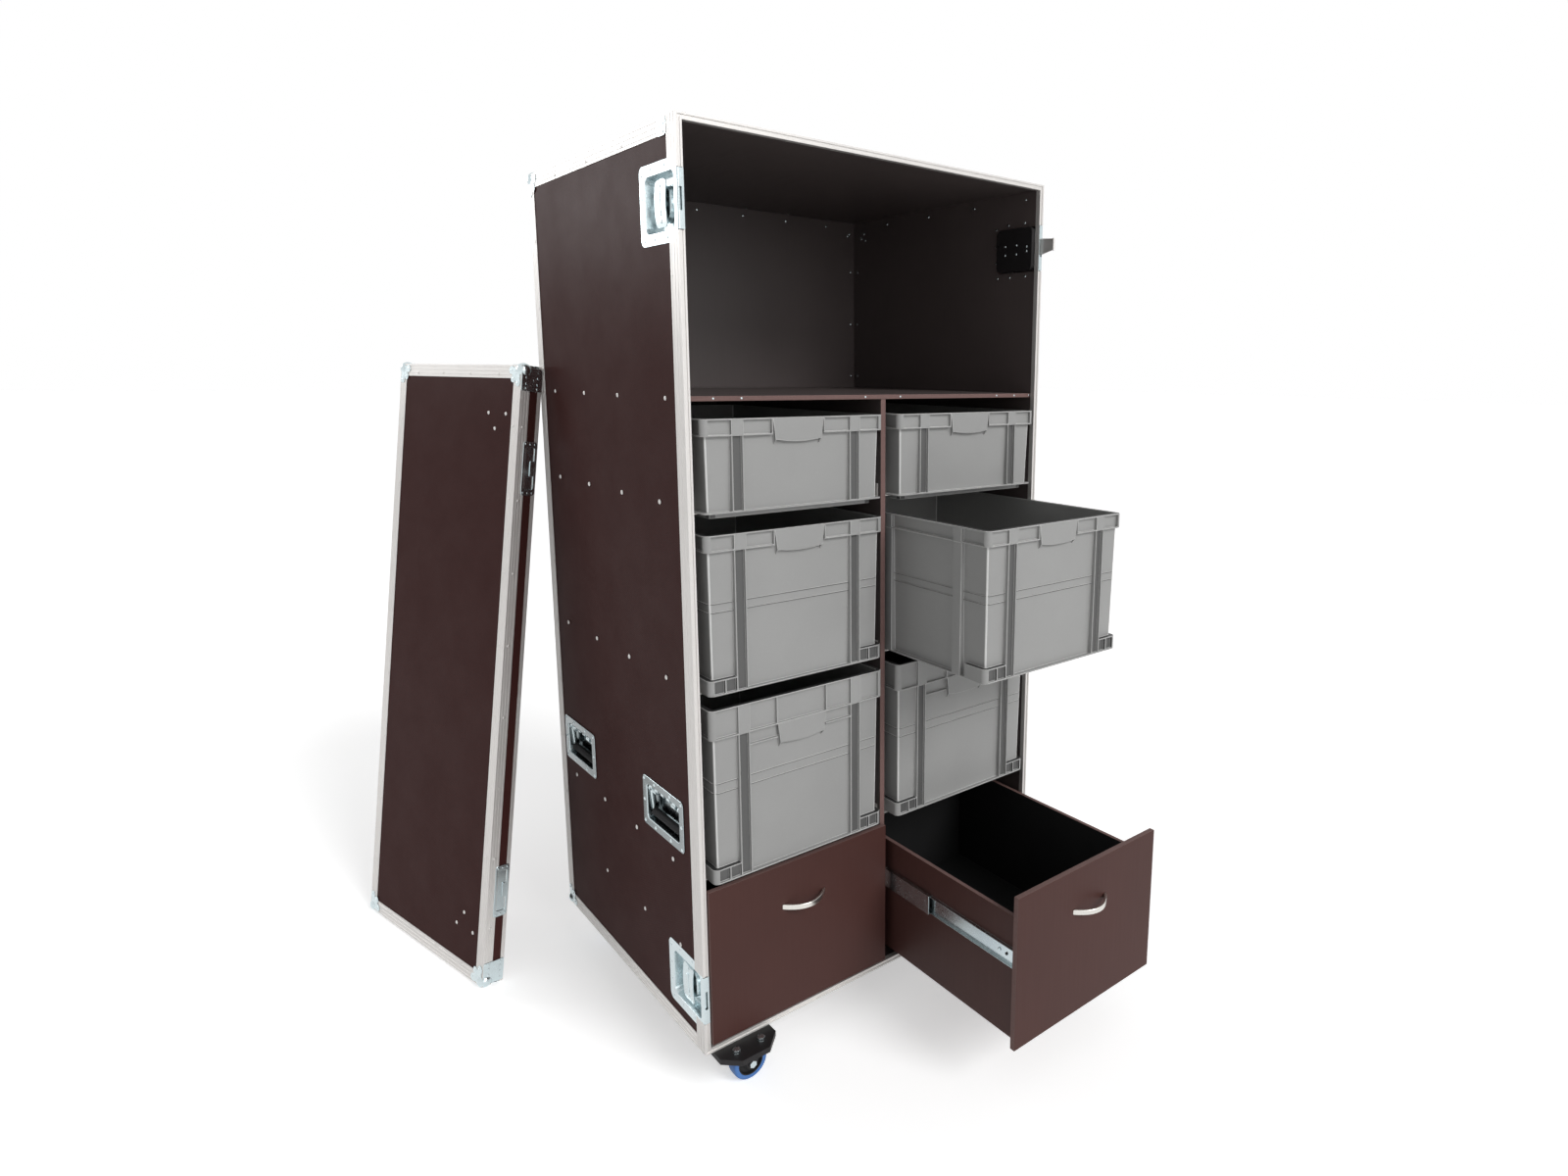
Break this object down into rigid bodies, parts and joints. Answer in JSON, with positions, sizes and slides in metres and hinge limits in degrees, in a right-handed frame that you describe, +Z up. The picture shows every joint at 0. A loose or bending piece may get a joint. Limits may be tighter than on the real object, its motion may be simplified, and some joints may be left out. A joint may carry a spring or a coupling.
{
  "type": "road case with drawers",
  "caption": "Tall wheeled road case: stacking bins on runners, drawers on telescopic slides, an open top compartment, recessed latches and handles, and a lift-off cover leaning beside it.",
  "frame": {"origin": "on the floor, under the middle of the box round the case, its pulled-out drawer and bin, and the leaning cover", "axes": "+Z up, +Y from the open front of the case towards its back, +X to the right seen from the front"},
  "size_m": [1.277, 1.6506, 1.839],
  "materials": {
    "phenolic_ply": "brown phenolic film on plywood, fine hexagonal grip texture",
    "aluminium_profile": "satin mill finish",
    "zinc_steel": "bright zinc plate",
    "nickel": "brushed nickel",
    "grey_plastic": "moulded polypropylene, satin",
    "black_rubber": "matte moulded grip over steel",
    "black_steel": "black passivated steel",
    "blue_tread": "elastic rubber tread"
  },
  "bodies": {
    "case": {"left_side_panel": "phenolic_ply", "right_side_panel": "phenolic_ply", "top_panel": "phenolic_ply", "bottom_panel_with_caster_boards": "phenolic_ply", "back_panel": "phenolic_ply", "compartment_shelf": "phenolic_ply", "centre_divider": "phenolic_ply", "front_closure_frame": "aluminium_profile", "rear_edging": "aluminium_profile", "runner_top_left": "aluminium_profile", "runner_top_right": "aluminium_profile", "runner_pair_top": "aluminium_profile", "runner_middle_left": "aluminium_profile", "runner_middle_right": "aluminium_profile", "runner_pair_middle": "aluminium_profile", "runner_bottom_left": "aluminium_profile", "runner_bottom_right": "aluminium_profile", "runner_pair_bottom": "aluminium_profile", "latch_dish_upper_left": "zinc_steel", "latch_dish_upper_right": "zinc_steel", "latch_dish_lower_left": "zinc_steel", "latch_dish_lower_right": "zinc_steel", "handle_dish_front_left": "zinc_steel", "handle_dish_front_right": "zinc_steel", "handle_dish_rear_left": "zinc_steel", "handle_dish_rear_right": "zinc_steel"},
    "top_left_bin": {"bin_top_left": "grey_plastic"},
    "top_right_bin": {"bin_top_right": "grey_plastic"},
    "middle_left_bin": {"bin_middle_left": "grey_plastic"},
    "middle_right_bin": {"bin_middle_right": "grey_plastic"},
    "bottom_left_bin": {"bin_bottom_left": "grey_plastic"},
    "bottom_right_bin": {"bin_bottom_right": "grey_plastic"},
    "left_drawer": {"drawer_front_left": "phenolic_ply", "drawer_box_left": "phenolic_ply", "drawer_pull_left": "nickel"},
    "right_drawer": {"drawer_front_right": "phenolic_ply", "drawer_box_right": "phenolic_ply", "drawer_pull_right": "nickel"},
    "left_slides": {"slide_member_left_near": "zinc_steel", "slide_member_left_far": "zinc_steel"},
    "right_slides": {"slide_member_right_near": "zinc_steel", "slide_member_right_far": "zinc_steel"},
    "upper_left_wing": {"latch_wing_upper_left": "zinc_steel"},
    "upper_right_wing": {"latch_wing_upper_right": "zinc_steel"},
    "lower_left_wing": {"latch_wing_lower_left": "zinc_steel"},
    "lower_right_wing": {"latch_wing_lower_right": "zinc_steel"},
    "front_left_bail": {"handle_bail_front_left": "black_rubber"},
    "front_right_bail": {"handle_bail_front_right": "black_rubber"},
    "rear_left_bail": {"handle_bail_rear_left": "black_rubber"},
    "rear_right_bail": {"handle_bail_rear_right": "black_rubber"},
    "front_left_fork": {"caster_fork_front_left": "black_steel"},
    "front_right_fork": {"caster_fork_front_right": "black_steel"},
    "rear_left_fork": {"caster_fork_rear_left": "black_steel"},
    "rear_right_fork": {"caster_fork_rear_right": "black_steel"},
    "front_left_wheel": {"caster_wheel_front_left": "blue_tread"},
    "front_right_wheel": {"caster_wheel_front_right": "blue_tread"},
    "rear_left_wheel": {"caster_wheel_rear_left": "blue_tread"},
    "rear_right_wheel": {"caster_wheel_rear_right": "blue_tread"},
    "cover": {"cover_tray": "phenolic_ply", "cover_edging": "aluminium_profile"}
  },
  "joints": [
    {"name": "top_left_bin_slide", "type": "slide", "parent": "case", "child": "top_left_bin", "axis": [0, -1, 0], "range_m": [0, 0.55]},
    {"name": "top_right_bin_slide", "type": "slide", "parent": "case", "child": "top_right_bin", "axis": [0, -1, 0], "range_m": [0, 0.55]},
    {"name": "middle_left_bin_slide", "type": "slide", "parent": "case", "child": "middle_left_bin", "axis": [0, -1, 0], "range_m": [0, 0.55]},
    {"name": "middle_right_bin_slide", "type": "slide", "parent": "case", "child": "middle_right_bin", "axis": [0, -1, 0], "range_m": [-0.265, 0.285]},
    {"name": "bottom_left_bin_slide", "type": "slide", "parent": "case", "child": "bottom_left_bin", "axis": [0, -1, 0], "range_m": [0, 0.55]},
    {"name": "bottom_right_bin_slide", "type": "slide", "parent": "case", "child": "bottom_right_bin", "axis": [0, -1, 0], "range_m": [0, 0.55]},
    {"name": "left_drawer_slide", "type": "slide", "parent": "case", "child": "left_drawer", "axis": [0, -1, 0], "range_m": [0, 0.58]},
    {"name": "right_drawer_slide", "type": "slide", "parent": "case", "child": "right_drawer", "axis": [0, -1, 0], "range_m": [-0.389, 0.191]},
    {"name": "left_members_slide", "type": "slide", "parent": "case", "child": "left_slides", "axis": [0, -1, 0], "range_m": [0, 0.29]},
    {"name": "right_members_slide", "type": "slide", "parent": "case", "child": "right_slides", "axis": [0, -1, 0], "range_m": [-0.1945, 0.0955]},
    {"name": "upper_left_wing_turn", "type": "hinge", "parent": "case", "child": "upper_left_wing", "pos_m": [-0.2645, -0.32997, 1.698], "axis": [1, 0, 0], "range_deg": [0, 180]},
    {"name": "upper_right_wing_turn", "type": "hinge", "parent": "case", "child": "upper_right_wing", "pos_m": [0.6055, -0.32997, 1.698], "axis": [1, 0, 0], "range_deg": [0, 180]},
    {"name": "lower_left_wing_turn", "type": "hinge", "parent": "case", "child": "lower_left_wing", "pos_m": [-0.2645, -0.32997, 0.218], "axis": [1, 0, 0], "range_deg": [0, 180]},
    {"name": "lower_right_wing_turn", "type": "hinge", "parent": "case", "child": "lower_right_wing", "pos_m": [0.6055, -0.32997, 0.218], "axis": [1, 0, 0], "range_deg": [0, 180]},
    {"name": "front_left_bail_lift", "type": "hinge", "parent": "case", "child": "front_left_bail", "pos_m": [-0.2685, -0.25097, 0.578], "axis": [0, 1, 0], "range_deg": [0, 90], "stiffness_Nm_per_rad": 0.1},
    {"name": "front_right_bail_lift", "type": "hinge", "parent": "case", "child": "front_right_bail", "pos_m": [0.6095, -0.25097, 0.578], "axis": [0, -1, 0], "range_deg": [0, 90], "stiffness_Nm_per_rad": 0.1},
    {"name": "rear_left_bail_lift", "type": "hinge", "parent": "case", "child": "rear_left_bail", "pos_m": [-0.2685, 0.18503, 0.578], "axis": [0, 1, 0], "range_deg": [0, 90], "stiffness_Nm_per_rad": 0.1},
    {"name": "rear_right_bail_lift", "type": "hinge", "parent": "case", "child": "rear_right_bail", "pos_m": [0.6095, 0.18503, 0.578], "axis": [0, -1, 0], "range_deg": [0, 90], "stiffness_Nm_per_rad": 0.1},
    {"name": "front_left_swivel", "type": "hinge", "parent": "case", "child": "front_left_fork", "pos_m": [-0.1945, -0.38897, 0.05], "axis": [0, 0, 1], "continuous": true},
    {"name": "front_right_swivel", "type": "hinge", "parent": "case", "child": "front_right_fork", "pos_m": [0.5355, -0.38897, 0.05], "axis": [0, 0, 1], "continuous": true},
    {"name": "rear_left_swivel", "type": "hinge", "parent": "case", "child": "rear_left_fork", "pos_m": [-0.1945, 0.23903, 0.05], "axis": [0, 0, 1], "continuous": true},
    {"name": "rear_right_swivel", "type": "hinge", "parent": "case", "child": "rear_right_fork", "pos_m": [0.5355, 0.23903, 0.05], "axis": [0, 0, 1], "continuous": true},
    {"name": "front_left_roll", "type": "hinge", "parent": "front_left_fork", "child": "front_left_wheel", "pos_m": [-0.1765, -0.38897, 0.0375], "axis": [0, 1, 0], "continuous": true},
    {"name": "front_right_roll", "type": "hinge", "parent": "front_right_fork", "child": "front_right_wheel", "pos_m": [0.5535, -0.38897, 0.0375], "axis": [0, 1, 0], "continuous": true},
    {"name": "rear_left_roll", "type": "hinge", "parent": "rear_left_fork", "child": "rear_left_wheel", "pos_m": [-0.1765, 0.23903, 0.0375], "axis": [0, 1, 0], "continuous": true},
    {"name": "rear_right_roll", "type": "hinge", "parent": "rear_right_fork", "child": "rear_right_wheel", "pos_m": [0.5535, 0.23903, 0.0375], "axis": [0, 1, 0], "continuous": true},
    {"name": "cover_removal", "type": "slide", "parent": "case", "child": "cover", "axis": [-0.9732, -0.23, 0], "range_m": [0, 0.5]}
  ],
  "couplings": [
    {"joint": "left_members_slide", "follows": "left_drawer_slide", "ratio": 0.5},
    {"joint": "right_members_slide", "follows": "right_drawer_slide", "ratio": 0.5}
  ]
}
